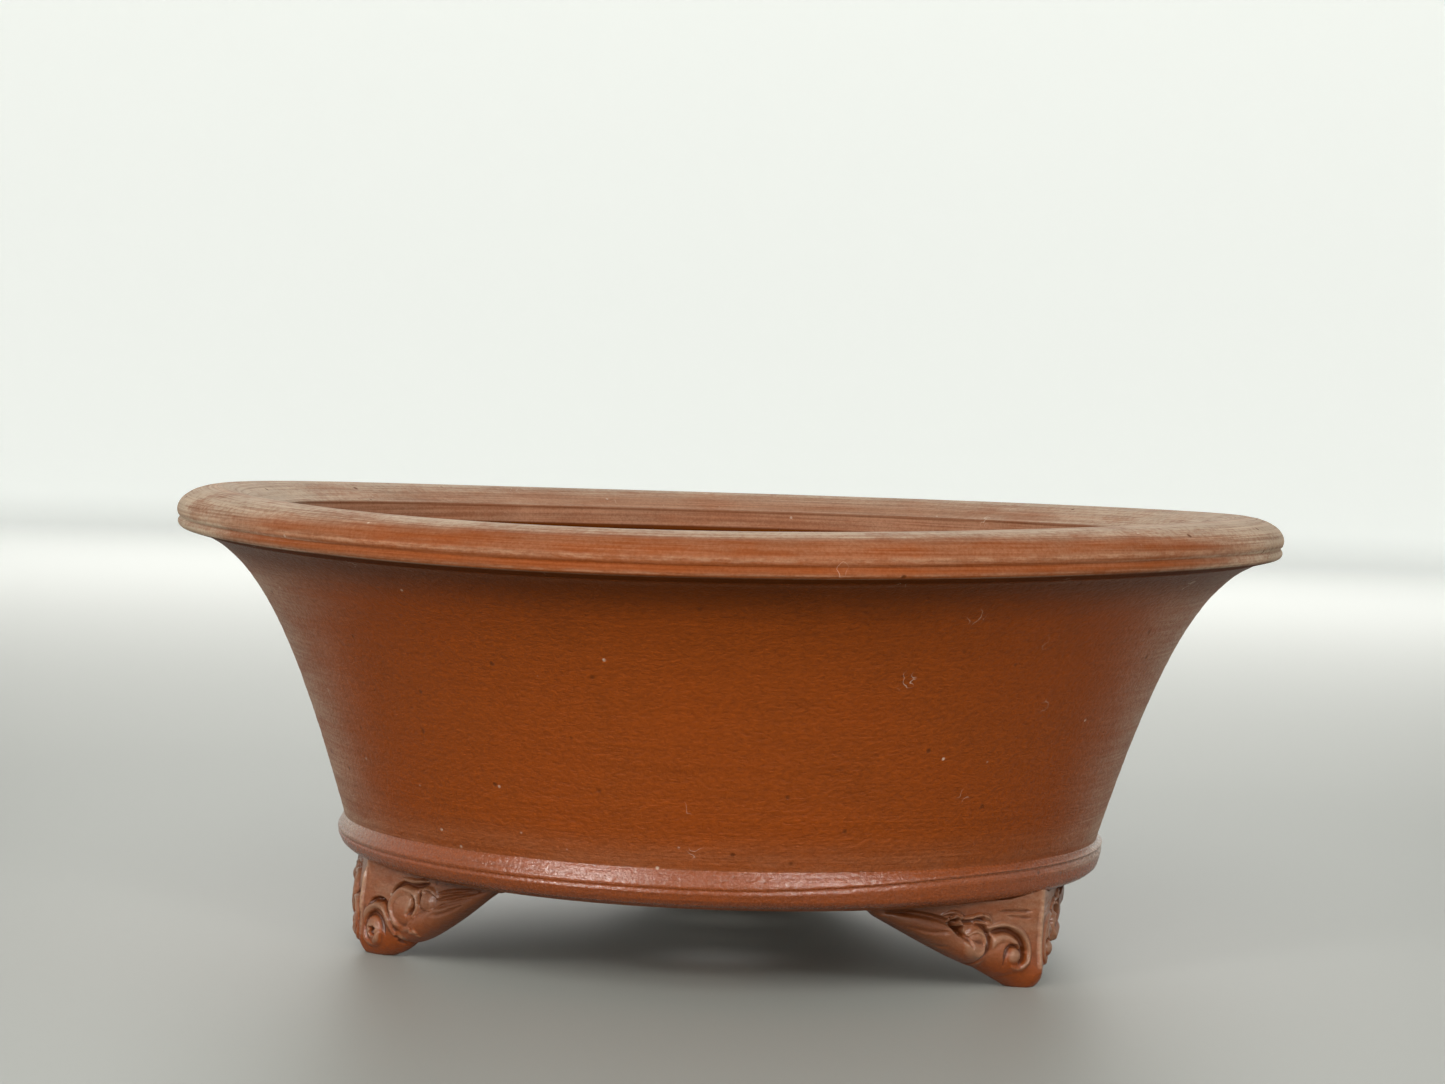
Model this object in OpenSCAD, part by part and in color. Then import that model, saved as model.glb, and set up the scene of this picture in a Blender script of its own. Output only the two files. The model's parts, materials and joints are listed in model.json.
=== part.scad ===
// Round unglazed clay bonsai pot on three carved bracket feet.
// +Z is up and z = 0 is the table. The origin is on the pot's axis.
// The pieces are the clay pieces that are luted together before firing.

/* [Pot] */
// Diameter over the lip
lip_d = 150; // [144:1:156]
// Height from the table to the top of the lip
pot_h = 60; // [58:1:64]
// Diameter of the wall where it meets the base band
foot_d = 103.6; // [100:0.1:106]
// Thickness of the wall
wall_t = 5; // [4:0.5:6]
// Thickness of the floor slab
floor_t = 5; // [4:0.5:6]

/* [Lip] */
// Height of the lip above the wall it is luted to
lip_h = 6; // [5.5:0.1:6.5]
// Distance that the lip stands out past the top of the wall
lip_overhang = 3.2; // [2.5:0.1:4]
// Distance from the outer edge of the lip to its highest line
crest_in = 5.5; // [4.5:0.1:6.5]

/* [Base band] */
// Height of the base band above the underside of the pot
band_h = 5.8; // [5:0.1:7]
// Distance that the band stands out past the wall
band_proud = 0.6; // [0.3:0.1:1]

/* [Feet] */
// Height of the feet
foot_h = 11.6; // [10:0.1:13]
// Distance from the pot's axis to the ridge of a foot
ridge_r = 51; // [50:0.5:52]
// Length of each wing of a foot along its outer face
wing_len = 27; // [24:1:28]
// Angle between a wing and the line from its ridge to the pot's axis
wing_angle = 68; // [64:1:72]
// Thickness of the wings
wing_t = 7; // [6:0.5:8]
// Width of the part of a foot that stands on the table
sole_w = 4; // [3:0.5:6]

/* [Drainage] */
// Diameter of the drain hole
drain_d = 16; // [12:1:22]
// Diameter of the holes for the tie wires
wire_hole_d = 4; // [3:0.5:5]
// Diameter of the circle that the tie wire holes lie on
wire_circle_d = 60; // [50:1:66]
// Number of tie wire holes
wire_holes = 4; // [2:1:6]

/* [Hidden] */
$fn = 96;

// Heights of the joints between the pieces
floor_top = foot_h + floor_t;
band_top = foot_h + band_h;
lip_joint = pot_h - lip_h;

// Radii of the main circles
lip_r = lip_d / 2;
foot_r = foot_d / 2;
band_r = foot_r + band_proud;
// The foot of the wall and the floor slab are both this much slimmer, and the band is luted round them
seat_r = foot_r - 1.2;
// The slab's lower edge carries on the line of the band's bevel
slab_bevel = [2.2, 0.7];
neck_r = lip_r - lip_overhang;
neck_in_r = neck_r - 1.78 * wall_t;
wall_foot_in_r = foot_r - 0.95 * wall_t;

// Directions in which the feet point
left_azimuth = 210;
right_azimuth = 330;
rear_azimuth = 90;

// Segments in each curve of the outlines
curve_steps = 14;
arc_steps = 7;
eps = 1;

function bezier(p, t) =
    pow(1 - t, 3) * p[0] + 3 * pow(1 - t, 2) * t * p[1]
    + 3 * (1 - t) * t * t * p[2] + pow(t, 3) * p[3];
function curve(p) = [for (i = [0 : curve_steps]) bezier(p, i / curve_steps)];
// Quarter of an ellipse, from angle a to angle b, without its first point
function arc(centre, rx, rz, a, b) =
    [for (i = [1 : arc_steps]) centre + [rx * cos(a + (b - a) * i / arc_steps), rz * sin(a + (b - a) * i / arc_steps)]];
// Curve from p[0] to p[2] that bends towards p[1]
function lobe(p, steps) =
    [for (i = [0 : steps]) let (t = i / steps) pow(1 - t, 2) * p[0] + 2 * t * (1 - t) * p[1] + t * t * p[2]];
function mirrored(points) = [for (i = [len(points) - 1 : -1 : 0]) [-points[i][0], points[i][1]]];

// Outer face of the wall, rising steeply and flaring out under the lip
outer_face = curve([
    [foot_r, band_top],
    [foot_r + 6.2, band_top + 20],
    [neck_r - 8.5, lip_joint - 3.3],
    [neck_r, lip_joint]
]);
// Inner face of the wall, with a short upright stretch above the floor
inner_foot_z = floor_top + 2;
inner_face = curve([
    [neck_in_r, lip_joint],
    [neck_in_r - 9.6, lip_joint - 9.6],
    [wall_foot_in_r + 1.4, inner_foot_z + 5],
    [wall_foot_in_r, inner_foot_z]
]);

// Everted lip: a top that falls away inwards, a broad roll, a fine turned groove and a bead under it
module rim_lip() {
    crest_r = lip_r - crest_in;
    roll_z = pot_h - 3;
    inner_r = neck_in_r - 0.1;
    inner_z = pot_h - 2.7;
    color("#9b5c3e")
    rotate_extrude()
    polygon(concat(
        [[neck_in_r, lip_joint], [neck_in_r, inner_z - 0.5]],
        curve([[inner_r, inner_z], [inner_r + 1.8, inner_z + 0.8], [crest_r - 2.5, pot_h], [crest_r, pot_h]]),
        arc([crest_r, roll_z], crest_in, pot_h - roll_z, 90, 0),
        [[lip_r - 0.1, lip_joint + 2.6], [lip_r - 0.5, lip_joint + 2.35], [lip_r - 0.1, lip_joint + 2.1]],
        [[lip_r - 0.15, lip_joint + 1.7], [lip_r - 0.7, lip_joint + 1.25]],
        [[neck_r, lip_joint]]
    ));
}

// Flared wall, which stands on the floor slab and is stepped in at its foot for the band
module pot_wall() {
    color("#8b4411")
    rotate_extrude()
    polygon(concat(
        [[wall_foot_in_r, floor_top], [seat_r, floor_top], [seat_r, band_top]],
        outer_face,
        inner_face
    ));
}

// Applied band round the foot of the wall: a sloping shoulder, a fine line and a lower bevel
module base_band() {
    bevel_z = foot_h + slab_bevel[1];
    color("#9f6040")
    rotate_extrude()
    polygon([
        [seat_r, bevel_z],
        [band_r - 0.9, bevel_z + 0.5],
        [band_r - 0.2, bevel_z + 1.6],
        [band_r, band_top - 3.1],
        [band_r - 0.2, band_top - 2.9],
        [band_r, band_top - 2.7],
        [band_r - 0.05, band_top - 1.9],
        [foot_r, band_top],
        [seat_r, band_top]
    ]);
}

// Floor slab with the drain hole and the tie wire holes
module floor_slab() {
    color("#7f3f14")
    difference() {
        rotate_extrude()
        polygon([
            [0, foot_h],
            [seat_r - slab_bevel[0], foot_h],
            [seat_r, foot_h + slab_bevel[1]],
            [seat_r, floor_top],
            [0, floor_top]
        ]);
        translate([0, 0, foot_h - eps]) cylinder(d = drain_d, h = floor_t + 2 * eps);
        for (i = [0 : wire_holes - 1])
            rotate([0, 0, 45 + i * 360 / wire_holes])
            translate([wire_circle_d / 2, 0, foot_h - eps])
            cylinder(d = wire_hole_d, h = floor_t + 2 * eps);
    }
}

// Plan of a foot that points along +X: two wings that meet in a ridge
module foot_plan() {
    along = [-cos(wing_angle), sin(wing_angle)];
    inward = [-sin(wing_angle), -cos(wing_angle)];
    ridge = [ridge_r, 0];
    tip = ridge + wing_len * along;
    inner_tip = tip + wing_t * inward;
    inner_corner = [ridge_r - wing_t / sin(wing_angle), 0];
    polygon([
        ridge,
        tip,
        inner_tip,
        inner_corner,
        [inner_tip[0], -inner_tip[1]],
        [tip[0], -tip[1]]
    ]);
}

// Front view of a foot: a narrow sole, a lobe on each side and a wing that rises to the floor
module foot_front() {
    reach = wing_len * sin(wing_angle) + 0.5;
    cusp = [0.275 * wing_len, 0.25 * foot_h];
    side = concat(
        lobe([[sole_w / 2, 0], [4.2, 0.5], cusp], 6),
        lobe([cusp, [0.45 * wing_len, 0.32 * foot_h], [reach, foot_h]], 8)
    );
    polygon(concat(side, mirrored(side)));
}

// Carved bracket foot: the plan and the front view together, with the outer edge of the sole bevelled
module foot(azimuth) {
    span = 2 * ridge_r;
    color("#96563a")
    rotate([0, 0, azimuth])
    intersection() {
        linear_extrude(height = foot_h) foot_plan();
        rotate([90, 0, 90]) linear_extrude(height = span) foot_front();
        rotate_extrude()
        polygon([
            [0, 0],
            [ridge_r - 1.5, 0],
            [ridge_r + 0.5, 2.5],
            [ridge_r + 0.5, foot_h],
            [0, foot_h]
        ]);
    }
}

module foot_left() foot(left_azimuth);
module foot_right() foot(right_azimuth);
module foot_rear() foot(rear_azimuth);

rim_lip();
pot_wall();
base_band();
floor_slab();
foot_left();
foot_right();
foot_rear();
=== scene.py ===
import json
import math

import bpy
import numpy as np
from mathutils import Matrix, Vector


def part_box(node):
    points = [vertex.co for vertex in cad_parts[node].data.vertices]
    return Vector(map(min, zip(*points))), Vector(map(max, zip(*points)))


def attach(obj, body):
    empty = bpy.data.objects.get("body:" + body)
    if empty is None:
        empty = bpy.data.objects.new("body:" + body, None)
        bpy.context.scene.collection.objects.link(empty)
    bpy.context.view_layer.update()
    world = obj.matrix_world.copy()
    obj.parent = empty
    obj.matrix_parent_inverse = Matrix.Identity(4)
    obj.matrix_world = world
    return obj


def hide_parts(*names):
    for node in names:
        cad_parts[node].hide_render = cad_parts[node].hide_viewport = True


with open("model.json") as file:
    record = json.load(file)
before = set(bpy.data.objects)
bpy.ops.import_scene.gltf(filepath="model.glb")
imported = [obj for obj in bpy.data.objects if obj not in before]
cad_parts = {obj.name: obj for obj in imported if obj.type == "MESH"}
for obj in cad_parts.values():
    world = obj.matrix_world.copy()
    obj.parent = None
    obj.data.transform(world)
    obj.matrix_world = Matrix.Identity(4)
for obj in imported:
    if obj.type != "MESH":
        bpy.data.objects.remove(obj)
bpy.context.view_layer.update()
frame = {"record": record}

# Everything below is worked out in millimetres in the frame's axes, and put into metres by MM.
MM = 0.001


# ---------------------------------------------------------------- sizes, from the frame

def node_box(node):
    """Lowest and highest corner of a CAD node, in millimetres."""
    low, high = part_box(node)
    return np.array(low) / MM, np.array(high) / MM


LIP_LOW, LIP_HIGH = node_box("rim_lip")
WALL_LOW, WALL_HIGH = node_box("pot_wall")
BAND_LOW, BAND_HIGH = node_box("base_band")
FLOOR_LOW, FLOOR_HIGH = node_box("floor_slab")

LIP_R = (LIP_HIGH[0] - LIP_LOW[0]) / 2
LIP_TOP = LIP_HIGH[2]
JOINT_Z = LIP_LOW[2]
NECK_R = (WALL_HIGH[0] - WALL_LOW[0]) / 2
BAND_R = (BAND_HIGH[0] - BAND_LOW[0]) / 2
BAND_TOP = BAND_HIGH[2]
SLAB_R = (FLOOR_HIGH[0] - FLOOR_LOW[0]) / 2
UNDER_Z = FLOOR_LOW[2]
FLOOR_Z = FLOOR_HIGH[2]

MOUNTS = {mount["name"]: mount for mount in frame["record"]["mounts"]}
DRAIN_R = MOUNTS["drain_hole"]["dims"]["r_mm"]
WIRE_R = MOUNTS["wire_holes"]["dims"]["hole_r_mm"]
WIRE_CIRCLE_R = MOUNTS["wire_holes"]["dims"]["pcd_mm"] / 2
WIRE_COUNT = MOUNTS["wire_holes"]["dims"]["count"]

# Sizes of the CAD model that the frame's boxes don't hold, as in part.scad.
WALL_T = 5.0
BAND_PROUD = 0.6
CREST_IN = 5.5
SLAB_BEVEL = (2.2, 0.75)
FOOT_R = BAND_R - BAND_PROUD
FOOT_IN_R = FOOT_R - 0.95 * WALL_T
NECK_IN_R = NECK_R - 1.78 * WALL_T
CREST_R = LIP_R - CREST_IN
LINE_Z = BAND_TOP - 2.9


# ---------------------------------------------------------------- curves and noise

def bezier(p0, p1, p2, p3, steps):
    """Points of a cubic Bezier curve, both ends included."""
    t = np.linspace(0, 1, steps + 1)[:, None]
    p0, p1, p2, p3 = (np.array(p, float) for p in (p0, p1, p2, p3))
    return (1 - t) ** 3 * p0 + 3 * (1 - t) ** 2 * t * p1 + 3 * (1 - t) * t**2 * p2 + t**3 * p3


def ellipse(centre, rx, rz, start, end, steps):
    """Points along part of an ellipse, with the angles in degrees."""
    a = np.radians(np.linspace(start, end, steps + 1))
    return np.stack([centre[0] + rx * np.cos(a), centre[1] + rz * np.sin(a)], 1)


def arc_lengths(points):
    """Distance along a polyline at each of its points."""
    return np.concatenate([[0], np.cumsum(np.hypot(*np.diff(points, axis=0).T))])


def resampled(points, spacing):
    """The same polyline with points at an even spacing."""
    along = arc_lengths(points)
    count = max(2, int(round(along[-1] / spacing)) + 1)
    at = np.linspace(0, along[-1], count)
    return np.stack([np.interp(at, along, points[:, k]) for k in range(points.shape[1])], 1)


def rounded(points, radius, steps=5):
    """Rounds each inner corner of an open polyline with a small parabola."""
    points = np.array(points, float)
    out = [points[0]]
    for before, corner, after in zip(points[:-2], points[1:-1], points[2:]):
        reach = [min(radius, np.linalg.norm(p - corner) * 0.45) for p in (before, after)]
        start = corner + (before - corner) / np.linalg.norm(before - corner) * reach[0]
        end = corner + (after - corner) / np.linalg.norm(after - corner) * reach[1]
        for t in np.linspace(0, 1, steps):
            out.append((1 - t) ** 2 * start + 2 * t * (1 - t) * corner + t * t * end)
    out.append(points[-1])
    return np.array(out)


def smooth_step(x):
    x = np.clip(x, 0, 1)
    return x * x * (3 - 2 * x)


def peak(x, middle, width):
    """1 at the middle, falling smoothly to almost 0 at twice the width from it."""
    return np.exp(-((x - middle) / width) ** 2)


def lattice_noise(u, v, seed, period):
    """Smooth noise from -1 to 1 over a plane, which repeats in v every `period` cells."""
    table = np.random.RandomState(seed).rand(512, period) * 2 - 1
    iu, iv = np.floor(u).astype(int), np.floor(v).astype(int)
    fu, fv = smooth_step(u - iu), smooth_step(v - iv)
    corner = [[table[(iu + a) % 512, (iv + b) % period] for b in (0, 1)] for a in (0, 1)]
    near = corner[0][0] * (1 - fv) + corner[0][1] * fv
    far = corner[1][0] * (1 - fv) + corner[1][1] * fv
    return near * (1 - fu) + far * fu


# ---------------------------------------------------------------- meshes

def grid_faces(rows, columns, wrap_rows):
    """Quads of a grid of points that is closed round its columns, and round its rows if asked."""
    last = rows if wrap_rows else rows - 1
    i, j = np.meshgrid(np.arange(last), np.arange(columns), indexing="ij")
    right, below = (j + 1) % columns, (i + 1) % rows
    quads = [i * columns + j, i * columns + right, below * columns + right, below * columns + j]
    return np.stack(quads, -1).reshape(-1, 4)


def end_faces(rows, columns):
    """The two faces that close the first and the last row of such a grid."""
    last = (rows - 1) * columns
    return [list(range(columns))[::-1], [last + j for j in range(columns)]]


def new_piece(name, points, faces, material, node, attributes=None):
    """Makes a smooth-shaded piece from points in millimetres, in place of a CAD node."""
    mesh = bpy.data.meshes.new(name)
    mesh.from_pydata((points * MM).tolist(), [], faces if isinstance(faces, list) else faces.tolist())
    mesh.polygons.foreach_set("use_smooth", [True] * len(mesh.polygons))
    for key, values in (attributes or {}).items():
        layer = mesh.attributes.new(key, "FLOAT", "POINT")
        layer.data.foreach_set("value", values.astype(np.float32).ravel())
    mesh.materials.append(material)
    mesh.update()
    piece = bpy.data.objects.new(name, mesh)
    bpy.context.scene.collection.objects.link(piece)
    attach(piece, "root")
    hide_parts(node)
    return piece


# ---------------------------------------------------------------- camera, as the photo was taken

# Solved from the perspective of the photo's ellipses. Distances are from the pot's axis and from the table.
CAMERA_AZIMUTH = math.radians(275.8)
CAMERA_DISTANCE = 441.7
CAMERA_HEIGHT = 75.3
CAMERA_YAW = math.radians(-0.131)
CAMERA_PITCH = math.radians(2.665)
CAMERA_ROLL = math.radians(1.935)


def make_camera():
    data = bpy.data.cameras.new("camera")
    data.sensor_fit = "HORIZONTAL"
    data.sensor_width = 36
    data.lens = 80.15
    data.clip_start = 0.01
    camera = bpy.data.objects.new("camera", data)
    bpy.context.scene.collection.objects.link(camera)
    heading = CAMERA_AZIMUTH + math.pi - CAMERA_YAW
    forward = Vector((math.cos(heading) * math.cos(CAMERA_PITCH),
                      math.sin(heading) * math.cos(CAMERA_PITCH),
                      -math.sin(CAMERA_PITCH)))
    level = Vector((math.sin(heading), -math.cos(heading), 0))
    upright = level.cross(forward)
    right = level * math.cos(CAMERA_ROLL) + upright * math.sin(CAMERA_ROLL)
    up = upright * math.cos(CAMERA_ROLL) - level * math.sin(CAMERA_ROLL)
    place = Matrix((right, up, -forward)).transposed().to_4x4()
    place.translation = Vector((math.cos(CAMERA_AZIMUTH) * CAMERA_DISTANCE,
                                math.sin(CAMERA_AZIMUTH) * CAMERA_DISTANCE, CAMERA_HEIGHT)) * MM
    camera.matrix_world = place
    bpy.context.scene.camera = camera


# ---------------------------------------------------------------- shading nodes

class Shading:
    """A new material, with short ways to add nodes to it."""

    def __init__(self, name):
        self.material = bpy.data.materials.new(name)
        self.material.use_nodes = True
        self.tree = self.material.node_tree
        self.shader = self.tree.nodes["Principled BSDF"]
        place = self.tree.nodes.new("ShaderNodeTexCoord").outputs["Object"]
        self.place = self.vector("SCALE", place, scale=1 / MM)
        parts = self.tree.nodes.new("ShaderNodeSeparateXYZ")
        self.plug(parts.inputs[0], self.place)
        self.x, self.y, self.z = parts.outputs
        flat = self.vector("MULTIPLY", self.place, (1, 1, 0))
        self.r = self.vector("LENGTH", flat, output="Value")

    def plug(self, socket, value):
        if isinstance(value, bpy.types.NodeSocket):
            self.tree.links.new(value, socket)
        else:
            socket.default_value = value

    def vector(self, operation, a, b=None, scale=None, output="Vector"):
        node = self.tree.nodes.new("ShaderNodeVectorMath")
        node.operation = operation
        self.plug(node.inputs[0], a)
        if b is not None:
            self.plug(node.inputs[1], b)
        if scale is not None:
            node.inputs["Scale"].default_value = scale
        return node.outputs[output]

    def math(self, operation, *values):
        node = self.tree.nodes.new("ShaderNodeMath")
        node.operation = operation
        for socket, value in zip(node.inputs, values):
            self.plug(socket, value)
        return node.outputs[0]

    def add(self, *values):
        total = values[0]
        for value in values[1:]:
            total = self.math("ADD", total, value)
        return total

    def times(self, a, b):
        return self.math("MULTIPLY", a, b)

    def ramp(self, value, low, high, start=0.0, end=1.0):
        """Goes smoothly from start to end while the value goes from low to high."""
        node = self.tree.nodes.new("ShaderNodeMapRange")
        node.interpolation_type = "SMOOTHSTEP"
        numbers = {"Value": value, "From Min": low, "From Max": high, "To Min": start, "To Max": end}
        for key, number in numbers.items():
            self.plug(node.inputs[key], number)
        return node.outputs[0]

    def noise(self, scale, detail=2.0, stretch=None, w=None, roughness=0.55):
        """Noise from about 0 to 1, with its scale in features per millimetre."""
        node = self.tree.nodes.new("ShaderNodeTexNoise")
        node.noise_dimensions = "3D" if w is None else "4D"
        place = self.place if stretch is None else self.vector("MULTIPLY", self.place, stretch)
        self.plug(node.inputs["Vector"], place)
        if w is not None:
            self.plug(node.inputs["W"], w)
        node.inputs["Scale"].default_value = scale
        node.inputs["Detail"].default_value = detail
        node.inputs["Roughness"].default_value = roughness
        return node.outputs["Fac"]

    def specks(self, per_mm, radius, share):
        """1 in small round spots at a share of the cells of a grid, and 0 elsewhere."""
        node = self.tree.nodes.new("ShaderNodeTexVoronoi")
        self.plug(node.inputs["Vector"], self.place)
        node.inputs["Scale"].default_value = per_mm
        tint = self.tree.nodes.new("ShaderNodeSeparateColor")
        self.plug(tint.inputs[0], node.outputs["Color"])
        spot = self.ramp(node.outputs["Distance"], radius * per_mm, radius * per_mm * 0.4)
        return self.times(spot, self.math("LESS_THAN", tint.outputs[0], share))

    def blend(self, share, a, b, mode="MIX"):
        node = self.tree.nodes.new("ShaderNodeMix")
        node.data_type = "RGBA"
        node.blend_type = mode
        for index, value in ((0, share), (6, a), (7, b)):
            self.plug(node.inputs[index], (*value, 1) if isinstance(value, tuple) else value)
        return node.outputs[2]

    def facing_out(self):
        """1 on faces that look away from the pot's axis, and 0 on faces that look towards it."""
        normal = self.tree.nodes.new("ShaderNodeNewGeometry").outputs["True Normal"]
        outward = self.vector("DOT_PRODUCT", normal, self.place, output="Value")
        level = self.vector("DOT_PRODUCT", normal, (0, 0, 1), output="Value")
        return self.ramp(self.math("SUBTRACT", outward, self.times(level, self.z)), -8.0, 8.0)

    def attribute(self, name):
        node = self.tree.nodes.new("ShaderNodeAttribute")
        node.attribute_name = name
        return node.outputs["Fac"]

    def bumps(self, height, depth):
        """Bumps whose height of 1 stands for a depth in millimetres."""
        node = self.tree.nodes.new("ShaderNodeBump")
        node.inputs["Strength"].default_value = 1
        node.inputs["Distance"].default_value = depth * MM
        self.plug(node.inputs["Height"], height)
        self.plug(self.shader.inputs["Normal"], node.outputs[0])


# ---------------------------------------------------------------- floor and light

def make_stage():
    """A pale floor that curves up into a pale backdrop all round, well outside every view."""
    radius, bend, height = 1600.0, 500, 900
    level = [[radius * k / 6, 0] for k in range(1, 7)]
    corner = ellipse((radius, bend), bend, bend, -90, 0, 12)
    curve = np.concatenate([level, corner[1:], [[radius + bend, height]]])
    segments = 96
    theta = np.linspace(0, 2 * math.pi, segments, endpoint=False)
    ring = np.stack([np.cos(theta), np.sin(theta)], 1)
    points = [[0, 0, 0]]
    for r, z in curve:
        points += [[x * r, y * r, z] for x, y in ring]
    faces = [[0, 1 + (j + 1) % segments, 1 + j][::-1] for j in range(segments)]
    for i in range(len(curve) - 1):
        for j in range(segments):
            a, b = 1 + i * segments + j, 1 + i * segments + (j + 1) % segments
            faces.append([a, a + segments, b + segments, b])
    mesh = bpy.data.meshes.new("stage_floor")
    mesh.from_pydata((np.array(points) * MM).tolist(), [], faces)
    mesh.polygons.foreach_set("use_smooth", [True] * len(mesh.polygons))
    mesh.materials.append(stage_material())
    floor = bpy.data.objects.new("stage_floor", mesh)
    bpy.context.scene.collection.objects.link(floor)


def stage_material():
    """Pale grey near the pot, which turns to near white further out and up the backdrop, where it also glows
    as a soft lamp.
    """
    look = Shading("stage_pale")
    away = look.vector("LENGTH", look.place, output="Value")
    colour = look.blend(look.ramp(away, 150, 900), (0.31, 0.32, 0.295), (0.80, 0.81, 0.78))
    look.plug(look.shader.inputs["Base Color"], colour)
    look.shader.inputs["Roughness"].default_value = 0.5
    look.shader.inputs["Emission Color"].default_value = (0.97, 1.0, 0.96, 1)
    look.plug(look.shader.inputs["Emission Strength"], look.ramp(away, 500, 1700, 0.0, 0.33))
    return look.material


# Each light: its turn from the camera in degrees, height, size, power, and whether it lights the clay and
# whether it shines in it. The windows are split in two, so that their glints on the band are strong and
# small, and the wide front light has no glint at all.
LIGHTS = {
    "left_window": (-40, 380, 130, 2.0, True, False),
    "right_window": (31, 380, 100, 1.5, True, False),
    "left_glint": (-40, 380, 110, 8.0, False, True),
    "right_glint": (31, 380, 90, 7.0, False, True),
    "front": (-4, 520, 600, 6.2, True, False),
    "behind": (180, 520, 700, 3.0, True, True),
}
LIGHT_DISTANCE = 850


def area_light(name, turn, height, size, power, lights, shines):
    """A square light at a fixed distance from the pot's axis, which points at the middle of the pot."""
    data = bpy.data.lights.new(name, "AREA")
    data.shape = "SQUARE"
    data.size = size * MM
    data.energy = power
    data.color = (1.0, 0.98, 0.95)
    light = bpy.data.objects.new(name, data)
    bpy.context.scene.collection.objects.link(light)
    away = CAMERA_AZIMUTH + math.radians(turn)
    place = Vector((LIGHT_DISTANCE * math.cos(away), LIGHT_DISTANCE * math.sin(away), height))
    light.location = place * MM
    light.rotation_mode = "QUATERNION"
    light.rotation_quaternion = (Vector((0, 0, LIP_TOP / 2)) - place).to_track_quat("-Z", "Y")
    light.visible_diffuse = lights
    light.visible_glossy = shines


def make_lights():
    world = bpy.data.worlds.new("soft_world")
    world.use_nodes = True
    background = world.node_tree.nodes["Background"]
    background.inputs["Color"].default_value = (0.95, 0.97, 0.96, 1)
    background.inputs["Strength"].default_value = 0.44
    bpy.context.scene.world = world
    for name, light in LIGHTS.items():
        area_light(name, *light)
    bpy.context.scene.view_settings.view_transform = "Standard"


# ---------------------------------------------------------------- materials

# Colours of the fired clay, as linear red, green and blue, together with colours of painted shade, sheen and
# highlight.
WARM = (0.205, 0.040, 0.002)
DEEP = (0.17, 0.031, 0.001)
# Painted shade in the hollows of the carving.
HOLLOW_SHADE = (0.075, 0.016, 0.002)
# Painted shade under the lip's bead, at its inner corner, on the wall under the lip, at the feet's wing ends
# and in pits.
SHADE = (0.085, 0.018, 0.0005)
FILM = (0.25, 0.125, 0.070)
# A paler film inside, which also stands for painted light.
INSIDE = (0.29, 0.145, 0.085)
# Pale dust with a painted sheen, where the clay is seen at a glancing angle.
DUST_AND_SHEEN = (0.40, 0.30, 0.215)
LINT = (0.62, 0.52, 0.42)
# Pale wear with a painted highlight along edges.
WEAR_AND_HIGHLIGHT = (0.40, 0.24, 0.15)


class ClayNoise:
    """The noises that all the clays are made from, each from about 0 to 1."""

    def __init__(self, look):
        radius = look.times(look.r, 1.3)
        self.turning = look.noise(1.0, 2.5, (0.012, 0.012, 1.3), radius, 0.7)
        self.fine_turning = look.noise(3.2, 2.0, (0.01, 0.01, 1.2), radius, 0.6)
        self.blotches = look.noise(0.09, 3.0)
        self.grain = look.noise(2.6, 3.0, None, None, 0.75)
        self.grit = look.noise(1.7, 3.0, (0.7, 0.7, 1.2), None, 0.7)
        self.smears = look.noise(0.22, 4.0, (0.35, 0.35, 1.6), None, 0.7)


def lightness(look, noise, lines, speckle):
    """How much lighter or darker than its plain colour the clay is, as a grey colour."""
    def sway(value, amount):
        return look.times(look.math("SUBTRACT", value, 0.5), amount)

    light = look.add(1.0, sway(noise.grain, 0.5), sway(noise.grit, 0.25 * speckle), sway(noise.blotches, 0.5),
                     look.times(sway(noise.turning, 0.3), lines),
                     look.times(sway(noise.fine_turning, 0.45), lines))
    grey = look.tree.nodes.new("ShaderNodeCombineXYZ")
    for socket in grey.inputs:
        look.plug(socket, light)
    return grey.outputs[0]


def with_film(look, noise, colour, film, film_and_highlight_rise, inside_film_and_light):
    """A thin streaky film, which thickens between two heights and there also stands for a painted highlight,
    and a paler film on the faces that look inwards, which also stands for painted light.
    """
    streaks = look.add(look.times(noise.smears, 0.6), look.times(noise.fine_turning, 0.4))
    dusty = look.times(look.ramp(streaks, 0.38, 0.6, 0.35, 1.0), look.ramp(noise.grain, 0.25, 0.7, 0.55, 1.0))
    share = look.times(dusty, film)
    if film_and_highlight_rise is not None:
        share = look.times(share, look.ramp(look.z, *film_and_highlight_rise))
    colour = look.blend(share, colour, FILM)
    if inside_film_and_light:
        inside = look.math("SUBTRACT", 1.0, look.facing_out())
        colour = look.blend(look.times(look.times(inside, inside_film_and_light), look.add(0.4, dusty)), colour, INSIDE)
    return colour


def with_dust_and_sheen(look, noise, colour, dust_sheen, dust_sheen_rise):
    """Pale dust with a painted sheen, which shows where the surface is seen at a glancing angle."""
    glancing = look.tree.nodes.new("ShaderNodeLayerWeight")
    glancing.inputs["Blend"].default_value = 0.5
    dust_sheen_share = look.ramp(glancing.outputs["Facing"], dust_sheen[0], dust_sheen[1], 0.0, dust_sheen[2])
    if dust_sheen_rise is not None:
        dust_sheen_share = look.times(dust_sheen_share, look.ramp(look.z, *dust_sheen_rise))
    patchy = look.times(look.ramp(noise.smears, 0.3, 0.6, 0.45, 1.0),
                        look.ramp(noise.grit, 0.35, 0.6, 0.6, 1.0))
    streaky = look.times(patchy, look.ramp(noise.fine_turning, 0.35, 0.6, 0.55, 1.0))
    return look.blend(look.times(dust_sheen_share, streaky), colour, DUST_AND_SHEEN)


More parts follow.
